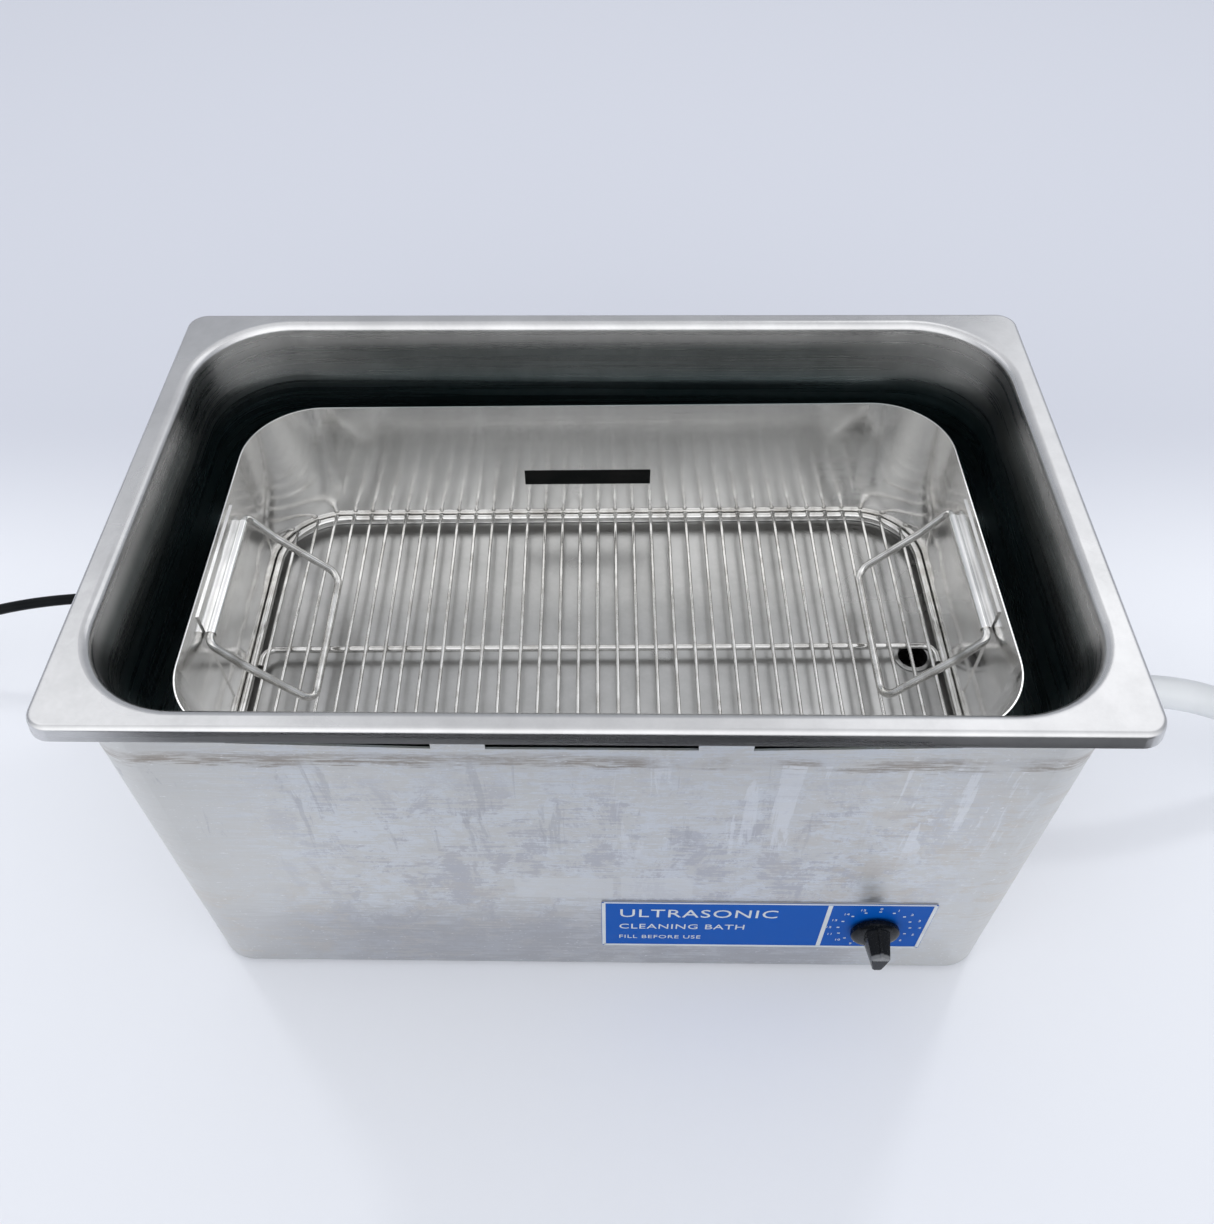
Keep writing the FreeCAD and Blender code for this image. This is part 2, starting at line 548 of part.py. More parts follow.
def make_hose():
    cord("drain_hose", HOSE_ROUTE, HOSE_RADIUS, HOSE_BORE)
    x0, x1 = HOSE_START + 8, HOSE_START + 18
    band = tube((x0, 0, DRAIN_Z), (x1, 0, DRAIN_Z), HOSE_RADIUS + 0.9, HOSE_RADIUS)
    housing = box(x0 + 1, x1 - 1, -8, 8, DRAIN_Z + 10, DRAIN_Z + 18)
    screw = rod(((x0 + x1) / 2, 8, DRAIN_Z + 14.5), ((x0 + x1) / 2, 15, DRAIN_Z + 14.5), 3.5)
    clamp = band.fuse([housing, screw]).cut(rod((x0 - 1, 0, DRAIN_Z), (x1 + 1, 0, DRAIN_Z), HOSE_RADIUS))
    save("hose_clamp", clamp)


# --- power cord ---

def make_power_cord():
    wall = -RIGHT
    collar = rod((wall, CORD_Y, CORD_Z), (wall - 4, CORD_Y, CORD_Z), 10.0)
    cone = Part.makeCone(8.0, 4.8, wall - 4 - RELIEF_TIP, V(wall - 4, CORD_Y, CORD_Z), V(-1, 0, 0))
    neck = rod((wall, CORD_Y, CORD_Z), (wall + CASE_SHEET + 4, CORD_Y, CORD_Z), 8.0)
    lock = rod((wall + CASE_SHEET, CORD_Y, CORD_Z), (wall + CASE_SHEET + 4, CORD_Y, CORD_Z), 10.0)
    stub = rod((wall + 5, CORD_Y, CORD_Z), (-236, CORD_Y, CORD_Z), CORD_RADIUS)
    save("strain_relief", collar.fuse([cone, neck, lock, stub]))
    cord("power_cord", CORD_ROUTE, CORD_RADIUS)
    low, high = COIL_LIFT, COIL_LIFT + COIL_TALL
    half = COIL_WIDE / 2
    ring = Part.Wire([Part.Circle(V(COIL_X, COIL_Y, (low + high) / 2), V(0, 0, 1), COIL_MIDDLE).toShape()])
    section = Part.makePolygon([V(COIL_X + COIL_MIDDLE + a * half, COIL_Y, low if b < 0 else high)
                                for a, b in ((-1, -1), (1, -1), (1, 1), (-1, 1), (-1, -1))])
    coil = ring.makePipeShell([section], True, True)
    coil = coil.makeFillet(8.0, coil.Edges)
    save("cord_coil", coil)
    tie_x = COIL_X + COIL_MIDDLE
    strap = box(tie_x - half - 0.9, tie_x + half + 0.9, COIL_Y - 6, COIL_Y + 6, 0, high + 0.9)
    strap = strap.makeFillet(7.0, [e for e in strap.Edges if e.BoundBox.YLength > 11])
    save("cord_tie", strap.cut(coil))
    cord("cord_tail", TAIL_ROUTE, CORD_RADIUS)
    make_plug()


def make_plug():
    x, y, z = TAIL_ROUTE[-1]
    neck = Part.makeCone(5.0, 8.0, 20.0, V(x, y, z), V(0, -1, 0))
    body = box(x - 13, x + 13, y - 48, y - 18, z - 12, z + 12)
    body = body.makeFillet(4.0, [e for e in body.Edges if e.BoundBox.YLength > 20])
    save("plug_body", neck.fuse(body))
    face = y - 48
    blades = [box(at - 0.75, at + 0.75, face - 17.5, face, z - 0.5, z + 5.8) for at in (x - 6.35, x + 6.35)]
    ground = rod((x, face, z - 7.0), (x, face - 20, z - 7.0), 2.4)
    save("plug_blades", *blades, ground)


# --- basket ---

def make_band():
    def wall(inset, low, high):
        grow = (high - BAND_BOTTOM) / (BAND_TOP - BAND_BOTTOM)
        less = (low - BAND_BOTTOM) / (BAND_TOP - BAND_BOTTOM)
        levels = []
        for z, share in ((low, less), (high, grow)):
            half_x = BAND_FOOT_X + (BAND_X - BAND_FOOT_X) * share - inset
            half_y = BAND_FOOT_Y + (BAND_Y - BAND_FOOT_Y) * share - inset
            levels.append(outline(half_x, half_y, BAND_CORNER - 2 + 2 * share - inset, z))
        return Part.makeLoft(levels, True, True)

    inside = wall(BAND_SHEET, BAND_BOTTOM - 1, BAND_TOP + 1)
    save_turned("basket_band", wall(0, BAND_BOTTOM, BAND_TOP).cut(inside))


def grid_half_length(x):
    """How far a grid wire reaches each way from the middle, past the ring's centre line."""
    past = abs(x) - (RING_X - RING_CORNER)
    reach = RING_Y
    if past > 0:
        reach = RING_Y - RING_CORNER + sqrt(RING_CORNER**2 - past**2)
    return reach + 1.4


def make_grid():
    path = outline(RING_X, RING_Y, RING_CORNER, ROD_Z)
    section = Part.Wire([Part.Circle(V(RING_X, 0, ROD_Z), V(0, 1, 0), RING_WIRE).toShape()])
    save_turned("basket_ring", path.makePipeShell([section], True, True))
    wires = []
    z = ROD_Z + RING_WIRE + GRID_WIRE - 0.2
    for k in range(GRID_COUNT):
        x = (k - (GRID_COUNT - 1) / 2) * GRID_PITCH
        reach = grid_half_length(x)
        wires.append(rod((x, -reach, z), (x, reach, z), GRID_WIRE))
    save_turned("grid_wires", *wires)
    beside = RING_X - RING_WIRE - MIDDLE_WIRE + 0.1
    bar = sweep([(-beside, -14, ROD_Z), (-beside, 0, ROD_Z), (beside, 0, ROD_Z), (beside, -14, ROD_Z)],
                MIDDLE_WIRE, bends=[8.0, 8.0])[0]
    save_turned("middle_wire", bar)


def make_hinge(node, side):
    """A plate on the end wall with a barrel for the handle's wire."""
    tilt = (BAND_X - BAND_FOOT_X) / (BAND_TOP - BAND_BOTTOM)

    def wall_x(z):
        return BAND_FOOT_X - BAND_SHEET + tilt * (z - BAND_BOTTOM)

    low, high = HINGE_BOTTOM, HINGE_TOP
    corners = [
        (wall_x(low) - 1.0, low), (wall_x(low), low), (wall_x(high), high),
        (wall_x(high) - 1.0, high), (wall_x(low) - 1.0, low),
    ]
    face = Part.Face(Part.makePolygon([V(side * x, -HINGE_HALF, z) for x, z in corners]))
    sheet = face.extrude(V(0, 2 * HINGE_HALF, 0))
    axis_ends = (side * HINGE_X, -HINGE_HALF, HINGE_Z), (side * HINGE_X, HINGE_HALF, HINGE_Z)
    barrel = rod(*axis_ends, BARREL_RADIUS)
    near, far = sorted((side * HINGE_X, side * (HINGE_X + BARREL_RADIUS)))
    web = box(near, far, -HINGE_HALF, HINGE_HALF, HINGE_Z - 2.6, HINGE_Z + 2.6)
    bore = rod((side * HINGE_X, -99, HINGE_Z), (side * HINGE_X, 99, HINGE_Z), HANDLE_WIRE + BORE_CLEARANCE)
    save_turned(node, sheet.fuse([barrel, web]).cut(bore))


def make_handle(node, side):
    """One bent wire: through the barrel, down two kinked legs and across."""
    middle = (side * HINGE_X, 20.0, HINGE_Z)
    shoulder = (side * HINGE_X, 51.5, HINGE_Z)
    knee = (side * 207.5, 51.5, 199.0)
    grip = (side * 172.5, 52.0, 161.5)
    half = [middle, shoulder, knee, grip]
    points = [(x, -y, z) for x, y, z in half] + half[::-1]
    legs = sweep(points, HANDLE_WIRE, bends=[5.0, 30.0, 9.0, 9.0, 30.0, 5.0])[0]
    pin = rod((side * HINGE_X, -20.0, HINGE_Z), middle, HANDLE_WIRE)
    save_turned(node, legs.fuse(pin).removeSplitter())


def make_basket_label():
    tilt = (BAND_Y - BAND_FOOT_Y) / (BAND_TOP - BAND_BOTTOM)

    def wall_y(z):
        return BAND_FOOT_Y - BAND_SHEET + tilt * (z - BAND_BOTTOM)

    low, high = 175.0, 187.0
    corners = [
        (wall_y(low), low), (wall_y(high), high), (wall_y(high) - 0.3, high),
        (wall_y(low) - 0.3, low), (wall_y(low), low),
    ]
    face = Part.Face(Part.makePolygon([V(-50.5, y, z) for y, z in corners]))
    save_turned("basket_label", face.extrude(V(87.2, 0, 0)))


os.makedirs("parts", exist_ok=True)
make_gasket(make_tank())
make_casing()
make_base()
make_label()
make_timer()
make_stacks()
make_driver()
make_leads()
make_drain()
make_valve()
make_hose()
make_power_cord()
make_band()
make_grid()
for node_side, sign in (("left", -1), ("right", 1)):
    make_hinge(node_side + "_hinge", sign)
    make_handle(node_side + "_handle", sign)
make_basket_label()
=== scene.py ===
"""Looks of a bench-top ultrasonic cleaner: its cord and hose, finishes, label print and fine pieces.

Metres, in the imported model's frame. The design is symmetrical about the middle of the tank, so sizes
that are given in millimetres are taken from there.
"""
import json
from math import cos, pi, radians, sin, sqrt
from random import Random

import bmesh
import bpy
from mathutils import Matrix, Vector


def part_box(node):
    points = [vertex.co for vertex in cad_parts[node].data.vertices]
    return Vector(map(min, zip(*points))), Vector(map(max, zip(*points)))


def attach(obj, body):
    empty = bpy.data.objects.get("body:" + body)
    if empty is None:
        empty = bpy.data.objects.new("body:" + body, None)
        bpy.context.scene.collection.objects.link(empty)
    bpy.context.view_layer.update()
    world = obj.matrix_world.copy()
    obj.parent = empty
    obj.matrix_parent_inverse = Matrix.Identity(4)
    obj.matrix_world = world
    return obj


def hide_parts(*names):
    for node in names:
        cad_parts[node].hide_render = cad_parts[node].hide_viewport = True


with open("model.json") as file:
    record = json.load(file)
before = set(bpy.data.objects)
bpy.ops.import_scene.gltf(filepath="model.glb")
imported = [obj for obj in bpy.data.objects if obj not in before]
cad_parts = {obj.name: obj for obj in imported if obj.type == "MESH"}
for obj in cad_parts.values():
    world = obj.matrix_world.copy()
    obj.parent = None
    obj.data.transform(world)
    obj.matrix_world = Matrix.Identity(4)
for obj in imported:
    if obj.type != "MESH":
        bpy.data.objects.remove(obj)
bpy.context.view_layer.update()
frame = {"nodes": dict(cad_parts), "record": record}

MM = 0.001
NODES = frame["nodes"]
TANK_LOW, TANK_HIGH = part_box("tank")
MIDDLE = Vector(((TANK_LOW.x + TANK_HIGH.x) / 2, (TANK_LOW.y + TANK_HIGH.y) / 2, 0))


def row(x, y, z):
    """A point given in millimetres about the tank's middle, in the model's frame."""
    return MIDDLE + Vector((x, y, z)) * MM


# --- camera ---

CAMERA_PLACE = Vector((0.0111, -0.4364, 0.7061))
CAMERA_PITCH, CAMERA_YAW, CAMERA_ROLL = 50.30, -1.80, -1.14
CAMERA_LENS = 32.39
CAMERA_SHIFT = 0.0113, 0.0089


def make_camera():
    """The camera in front of the object, looking down into the tank."""
    data = bpy.data.cameras.new("camera")
    data.lens = CAMERA_LENS
    data.shift_x, data.shift_y = CAMERA_SHIFT
    data.clip_start = 0.02
    camera = bpy.data.objects.new("camera", data)
    turn = Matrix.Rotation(radians(-CAMERA_YAW), 4, "Z")
    turn @= Matrix.Rotation(radians(90 - CAMERA_PITCH), 4, "X")
    turn @= Matrix.Rotation(radians(CAMERA_ROLL), 4, "Z")
    camera.matrix_world = Matrix.Translation(CAMERA_PLACE) @ turn
    bpy.context.scene.collection.objects.link(camera)
    bpy.context.scene.camera = camera


# --- cord and hose routes, millimetres about the tank's middle ---

CORD_ROUTE = [
    (-300, 100, 80), (-348, 100, 80), (-402, 98, 81), (-456, 93, 75), (-506, 89, 58),
    (-552, 88, 35), (-598, 82, 15), (-640, 58, 6),
]
TAIL_ROUTE = [(-657, -16, 15.5), (-654, -46, 12.5), (-654, -70, 12.5)]
HOSE_ROUTE = [
    (303, 0, 105), (349, 0, 105), (397, 2, 98), (445, 4, 74), (494, 4, 44), (548, 0, 21),
    (614, -9, 11), (669, -56, 11), (692, -125, 11), (674, -196, 11), (622, -247, 11),
    (551, -262, 11), (487, -238, 11), (454, -207, 11),
]
CORD_RADIUS = 4.0
HOSE_RADIUS, HOSE_BORE, HOSE_SIDES = 11.0, 8.0, 32
COIL_X, COIL_Y, COIL_Z = -600.0, 14.0, 11.4
COIL_MIDDLE = 50.0
COIL_TURNS, COIL_STEPS = 4, 18
BUNDLE_RADIUS = 7.2


def coil_points():
    """Four turns whose strands keep a diameter apart, as the bundle twists by 3/4 of a turn along them."""
    points = []
    stretch = 1 / cos(pi / COIL_STEPS)
    total = COIL_TURNS * COIL_STEPS
    for step in range(total + 1):
        around = pi + 2 * pi * step / COIL_STEPS
        across = -pi / 4 - 1.5 * pi * step / total
        radius = (COIL_MIDDLE + BUNDLE_RADIUS * cos(across)) * stretch
        height = COIL_Z + BUNDLE_RADIUS * sin(across)
        points.append((COIL_X + radius * cos(around), COIL_Y + radius * sin(around), height))
    return points


def nurbs(name, points, radius=0.0):
    """One smooth open curve through the pull of its points."""
    data = bpy.data.curves.new(name, "CURVE")
    data.dimensions = "3D"
    spline = data.splines.new("NURBS")
    spline.points.add(len(points) - 1)
    for control, point in zip(spline.points, points):
        control.co = (*row(*point), 1.0)
    spline.order_u = 3
    spline.use_endpoint_u = True
    spline.resolution_u = 8
    data.bevel_depth = radius * MM
    data.bevel_resolution = 6
    data.use_fill_caps = True
    curve = bpy.data.objects.new(name, data)
    bpy.context.scene.collection.objects.link(curve)
    return curve


def nurbs_path(points):
    """Points in order along the smooth curve that a route makes."""
    curve = nurbs("path", points)
    mesh = bpy.data.meshes.new_from_object(curve)
    path = [vertex.co.copy() for vertex in mesh.vertices]
    bpy.data.objects.remove(curve)
    bpy.data.meshes.remove(mesh)
    return path


def new_object(name, bm, material, smooth=True):
    """A mesh object from a bmesh, with one material."""
    bmesh.ops.recalc_face_normals(bm, faces=bm.faces)
    mesh = bpy.data.meshes.new(name)
    bm.to_mesh(mesh)
    bm.free()
    mesh.materials.append(material)
    for polygon in mesh.polygons:
        polygon.use_smooth = smooth
    made = bpy.data.objects.new(name, mesh)
    bpy.context.scene.collection.objects.link(made)
    return made


def path_rings(path, sides):
    """A unit circle's points at each path point, square to the path and without twist."""
    rings = []
    side = Vector((0, 0, 1))
    for k, point in enumerate(path):
        before, after = path[max(k - 1, 0)], path[min(k + 1, len(path) - 1)]
        along = (after - before).normalized()
        side = (side - along * side.dot(along)).normalized()
        other = along.cross(side)
        angles = [2 * pi * n / sides for n in range(sides)]
        rings.append([(point, side * cos(a) + other * sin(a)) for a in angles])
    return rings


def skin(bm, rings, closed=False):
    """Quads between neighbouring rings of vertices."""
    pairs = list(zip(rings, rings[1:]))
    if closed:
        pairs.append((rings[-1], rings[0]))
    for one, two in pairs:
        for k in range(len(one)):
            bm.faces.new((one[k - 1], one[k], two[k], two[k - 1]))


# --- materials ---

BRUSH_DEPTH, TARNISH_DEPTH, SKIN_DEPTH, WAVE_DEPTH = 0.00004, 0.00004, 0.00005, 0.0005


def socket(sockets, key):
    """A socket by number, or the one in use that has a name."""
    if isinstance(key, int):
        return sockets[key]
    return next(s for s in sockets if s.name == key and s.enabled)


class Nodes:
    """A node tree under construction: each method adds a node and gives its output."""

    def __init__(self, tree, place):
        self.tree = tree
        self.place = tree.nodes.new("ShaderNodeTexCoord").outputs[place]

    def fill(self, node, key, value):
        """Links an output to a socket, or sets the socket's own value."""
        target = socket(node.inputs, key)
        if isinstance(value, bpy.types.NodeSocket):
            self.tree.links.new(value, target)
        elif target.type == "RGBA" and len(value) == 3:
            target.default_value = (*value, 1.0)
        else:
            target.default_value = value

    def node(self, kind, inputs, **settings):
        made = self.tree.nodes.new("ShaderNode" + kind)
        for key, value in settings.items():
            setattr(made, key, value)
        for key, value in inputs.items():
            self.fill(made, key, value)
        return next(output for output in made.outputs if output.enabled)

    def scaled(self, x, y, z):
        return self.node("Mapping", {"Vector": self.place, "Scale": (x, y, z)})

    def noise(self, vector, scale, detail=3.0, roughness=0.5, distortion=0.0):
        inputs = {"Vector": vector, "Scale": scale, "Detail": detail}
        inputs.update({"Roughness": roughness, "Distortion": distortion})
        return self.node("TexNoise", inputs)

    def range(self, value, low, high, to_low=0.0, to_high=1.0):
        """A smooth step between two limits, which may fall as well as rise."""
        inputs = {"Value": value, "From Min": low, "From Max": high}
        inputs.update({"To Min": to_low, "To Max": to_high})
        return self.node("MapRange", inputs, interpolation_type="SMOOTHSTEP")

    def math(self, operation, a, b):
        return self.node("Math", {0: a, 1: b}, operation=operation)

    def plus(self, a, b):
        return self.math("ADD", a, b)

    def minus(self, a, b):
        return self.math("SUBTRACT", a, b)

    def times(self, a, b):
        return self.math("MULTIPLY", a, b)

    def mix(self, share, a, b):
        return self.node("Mix", {"Factor": share, "A": a, "B": b}, data_type="RGBA")

    def band(self, value, low, high, soft):
        """1 between two limits, with soft ends."""
        rise = self.range(value, low - soft, low + soft)
        return self.times(rise, self.range(value, high - soft, high + soft, 1.0, 0.0))

    def axis(self, name):
        split = self.tree.nodes.new("ShaderNodeSeparateXYZ")
        self.tree.links.new(self.place, split.inputs[0])
        return split.outputs[name]


class Look(Nodes):
    """A material under construction, on the object's own coordinates."""

    def __init__(self, name, **shader):
        self.material = bpy.data.materials.new(name)
        self.material.use_nodes = True
        super().__init__(self.material.node_tree, "Object")
        self.shader = self.tree.nodes["Principled BSDF"]
        self.set(**shader)

    def set(self, **shader):
        """Fills the shader's sockets; underscores stand for spaces."""
        for key, value in shader.items():
            self.fill(self.shader, key.replace("_", " "), value)

    def bump(self, height, distance):
        self.set(Normal=self.node("Bump", {"Height": height, "Distance": distance}))


# Colours of the casing's sheet, of each kind of mark on it, and of the painted shade at its foot.
PLAIN_SHEET, FILM, BLOTCH = (0.63, 0.63, 0.615), (0.70, 0.725, 0.755), (0.50, 0.505, 0.54)
WARM_STAIN, BROWN_BAND, PAINTED_FOOT_SHADE = (0.61, 0.575, 0.525), (0.36, 0.32, 0.28), (0.41, 0.415, 0.44)
RUN_DARK, RUN_PALE, SPECK = (0.44, 0.445, 0.475), (0.80, 0.82, 0.85), (0.88, 0.89, 0.91)
GHOST_PALE = (0.72, 0.73, 0.73)

# Where the marks lie, in metres across or up the casing: from, to, and how soft the ends are.
FILM_ACROSS = -0.185, 0.215, 0.05
BLOTCH_ACROSS, BLOTCH_UP = (-0.17, 0.19, 0.05), (0.045, 0.225, 0.03)
WARM_RIGHT_UP = 0.07, 0.22, 0.03
RUN_UP, PALE_RUN_ACROSS = (0.155, 0.247, 0.012), (0.01, 0.225, 0.03)
BROWN_BAND_UP = 0.2435, 0.2535, 0.0025

# Two patches where stickers were: left, right, low and high, in millimetres about the tank's middle.
GHOSTS = [(-47, 10.5, 99, 124), (15, 57, 99, 125)]
GHOST_EDGE = 0.0006
FRONT_WALL = MIDDLE.y - 0.149, MIDDLE.y - 0.150


def casing_look():
    """Brushed sheet under dried water: a pale film, a brown band at the top, runs, warm patches and
    painted shade low down.
    """
    look = Look("casing_sheet", Metallic=1.0)
    across, height = look.axis("X"), look.axis("Z")
    plus, minus, times = look.plus, look.minus, look.times

    # Brushing, whose unevenness also frays the outline of every mark.
    brush = look.noise(look.scaled(5, 5, 800), 1.0, 4.0, 0.65)
    streak = look.noise(look.scaled(34, 34, 420), 1.0, 7.0, 0.75)
    uneven = minus(streak, 0.5)

    # A pale film of dried water, except near the rounded ends.
    inner = look.band(plus(across, times(uneven, 0.15)), *FILM_ACROSS)
    film = look.noise(look.scaled(1.0, 1.0, 1.4), 50.0, 12.0, 0.78, 0.4)
    film = look.range(plus(film, times(uneven, 0.9)), 0.44, 0.56, 0.1, 1.0)
    base = look.mix(times(film, inner), PLAIN_SHEET, FILM)

    # Grey blotches where the film has worn off.
    blotch = look.noise(look.scaled(1.25, 1.25, 0.7), 30.0, 12.0, 0.78, 0.5)
    blotch = look.range(plus(blotch, times(uneven, 0.65)), 0.505, 0.56)
    middle = times(look.band(across, *BLOTCH_ACROSS), look.band(height, *BLOTCH_UP))
    base = look.mix(times(times(blotch, middle), 0.8), base, BLOTCH)

    # Warm patches, mostly low on the left and on the right.
    patch = look.noise(look.scaled(1, 1, 1.8), 27.0, 10.0, 0.76)
    patch = look.range(plus(patch, times(uneven, 0.5)), 0.50, 0.58)
    low_left = times(look.range(height, 0.17, 0.05), look.range(across, 0.06, -0.10))
    right = times(look.band(height, *WARM_RIGHT_UP), look.range(across, 0.08, 0.14))
    warm = times(patch, plus(times(plus(low_left, right), 0.55), 0.12))
    base = look.mix(warm, base, WARM_STAIN)

    # Painted shade: darker towards the bottom, as the reflection of the shaded floor in front, fading to
    # the right.
    foot = look.range(plus(height, times(uneven, 0.10)), 0.105, 0.045)
    foot = times(foot, look.range(across, -0.24, -0.12, 0.3, 0.85))
    foot = times(foot, look.range(plus(patch, film), 0.2, 1.9, 1.0, 0.62))
    base = look.mix(times(foot, look.range(across, 0.21, 0.13)), base, PAINTED_FOOT_SHADE)

    # Runs down from the top, dark on the left and pale on the right.
    run = look.noise(look.scaled(85, 85, 8), 1.0, 5.0, 0.62, 0.6)
    run = plus(run, times(uneven, 0.12))
    run_zone = look.band(plus(height, times(uneven, 0.10)), *RUN_UP)
    left_zone = times(run_zone, look.range(across, 0.16, 0.06, 0.3, 1.0))
    dark_run = times(look.range(run, 0.60, 0.64), left_zone)
    base = look.mix(times(dark_run, 0.45), base, RUN_DARK)
    right_zone = times(run_zone, look.band(across, *PALE_RUN_ACROSS))
    pale_run = times(look.range(run, 0.445, 0.41), right_zone)
    base = look.mix(times(pale_run, 0.55), base, RUN_PALE)

    # A brown band that sags a little, just under the vents.
    sag = minus(look.noise(look.scaled(1, 1, 0.2), 9.0, 4.0), 0.5)
    level = plus(height, plus(times(uneven, 0.035), times(sag, 0.012)))
    brown_band_mask = times(look.band(level, *BROWN_BAND_UP), look.range(streak, 0.42, 0.56, 0.15, 1.0))
    brown_band_mask = times(brown_band_mask, look.range(look.noise(look.place, 14.0, 6.0, 0.65), 0.38, 0.52, 0.2, 1.0))
    base = look.mix(times(brown_band_mask, 0.9), base, BROWN_BAND)

    # White specks, and the two patches on the front.
    speck = look.noise(look.scaled(1.0, 1.0, 2.4), 300.0, 3.0, 0.6)
    base = look.mix(look.range(speck, 0.66, 0.71, 0.0, 0.6), base, SPECK)
    for x0, x1, z0, z1 in GHOSTS:
        ghost = look.band(height, z0 * MM, z1 * MM, GHOST_EDGE)
        ghost = times(look.band(across, MIDDLE.x + x0 * MM, MIDDLE.x + x1 * MM, GHOST_EDGE), ghost)
        ghost = times(ghost, look.range(look.axis("Y"), *FRONT_WALL))
        base = look.mix(times(ghost, 0.6), base, GHOST_PALE)
    look.set(Base_Color=base)
    look.set(Roughness=plus(look.range(brush, 0.3, 0.7, 0.28, 0.36), times(film, 0.08)))
    look.bump(brush, BRUSH_DEPTH)
    return look.material


# Heights in metres at which the painted shade down the tank's wall deepens, its floor begins and its rim
# begins.
WALL_SHADE_DEEPENS, FLOOR_BEGINS, RIM_BEGINS = (0.262, 0.235), (0.156, 0.148), (0.270, 0.281)
# Where the painted highlights on the tank's walls lie: off a middle span across, and towards the back.
CORNER_HIGHLIGHT_GAP = -0.175, 0.175, 0.05
CORNER_HIGHLIGHT_BACK = MIDDLE.y + 0.05, MIDDLE.y + 0.13


def tank_look():
    """Drawn satin sheet, bright on the rim and duller on the floor, with painted reflections down the
    walls and painted highlights at the back corners.
    """
    look = Look("tank_satin", Metallic=1.0)
    across, height = look.axis("X"), look.axis("Z")
    grain = look.noise(look.scaled(4, 4, 260), 1.0, 3.0, 0.6)
    cloud = look.range(look.noise(look.place, 12.0, 9.0, 0.74), 0.3, 0.7)
    rim = look.mix(cloud, (0.53, 0.53, 0.535), (0.65, 0.65, 0.655))
    # Painted reflections: the walls are grey high up and dark teal lower down, standing in for the bright
    # room and the dark tank they mirror.
    shaded_high_wall = look.mix(cloud, (0.17, 0.185, 0.185), (0.24, 0.26, 0.26))
    shaded_low_wall = look.mix(cloud, (0.12, 0.19, 0.205), (0.19, 0.255, 0.27))
    floor = look.mix(cloud, (0.375, 0.375, 0.37), (0.485, 0.485, 0.48))
    wall = look.mix(look.range(height, *WALL_SHADE_DEEPENS), shaded_high_wall, shaded_low_wall)
    # Painted highlights: the upper walls at the back corners lightened towards the rim's colour.
    ends = look.minus(1.0, look.band(across, *CORNER_HIGHLIGHT_GAP))
    back = look.range(look.axis("Y"), *CORNER_HIGHLIGHT_BACK)
    corner = look.times(look.times(ends, back), look.range(height, 0.235, 0.268))
    wall = look.mix(look.times(corner, 0.6), wall, rim)
    base = look.mix(look.range(height, *RIM_BEGINS), wall, rim)
    look.set(Base_Color=look.mix(look.range(height, *FLOOR_BEGINS), base, floor))
    look.set(Roughness=look.range(grain, 0.3, 0.7, 0.24, 0.33))
    return look.material


def basket_look():
    """Thin bright sheet that waves a little, so that its reflections waver."""
    look = Look("basket_sheet", Metallic=1.0)
    wave = look.noise(look.scaled(34, 34, 5), 1.0, 1.0)
    grain = look.noise(look.scaled(8, 8, 500), 1.0, 3.0, 0.6)
    look.set(Base_Color=look.mix(look.range(wave, 0.3, 0.7), (0.87, 0.865, 0.855), (0.95, 0.945, 0.935)))
    look.set(Roughness=look.range(grain, 0.3, 0.7, 0.12, 0.19))
    look.bump(wave, WAVE_DEPTH)
    return look.material


def wire_look():
    """Polished wire with duller stretches."""
    look = Look("bright_wire", Metallic=1.0)
    cloud = look.noise(look.place, 90.0, 3.0)
    look.set(Base_Color=look.mix(look.range(cloud, 0.35, 0.7), (0.68, 0.675, 0.66), (0.50, 0.49, 0.47)))
    look.set(Roughness=look.range(cloud, 0.3, 0.7, 0.10, 0.20))
    return look.material


# The front of the knob's grip, and the heights of its front edge, in metres.
GRIP_TIP = MIDDLE.y - 0.1722, MIDDLE.y - 0.1735
GRIP_EDGE_UP = 0.0675, 0.0735, 0.001

# From the label plate's printed face to its bare edge.
LABEL_EDGE = MIDDLE.y - 0.1517, MIDDLE.y - 0.1516


def knob_look():
    """Black moulding with dust and a pale worn edge at the front of the grip."""
    look = Look("knob_plastic", Specular_IOR_Level=0.18)
    dust = look.range(look.noise(look.place, 700.0, 4.0, 0.7), 0.52, 0.72)
    tip = look.range(look.axis("Y"), *GRIP_TIP)
    edge = look.band(look.axis("Z"), *GRIP_EDGE_UP)
    worn = look.times(look.times(tip, edge), 0.5)
    base = look.mix(look.times(dust, 0.06), (0.003, 0.004, 0.006), (0.16, 0.17, 0.18))
    look.set(Base_Color=look.mix(worn, base, (0.34, 0.35, 0.36)))
    look.set(Roughness=look.range(dust, 0.0, 1.0, 0.24, 0.5))
    return look.material


def label_look():
    """Blue print on the plate's face, bare metal on its edges."""
    look = Look("label_blue", Roughness=0.45, Specular_IOR_Level=0.07)
    edge = look.range(look.axis("Y"), *LABEL_EDGE)
    look.set(Base_Color=look.mix(edge, (0.001, 0.066, 0.32), (0.30, 0.31, 0.33)))
    return look.material


def metal_look(name, light, dark, rough):
    """A plain machined or plated metal with fine tarnish."""
    look = Look(name, Metallic=1.0)
    cloud = look.noise(look.place, 120.0, 5.0, 0.6)
    look.set(Base_Color=look.mix(look.range(cloud, 0.35, 0.68), light, dark))
    look.set(Roughness=look.range(cloud, 0.3, 0.7, rough, rough + 0.14))
    look.bump(cloud, TARNISH_DEPTH)
    return look.material


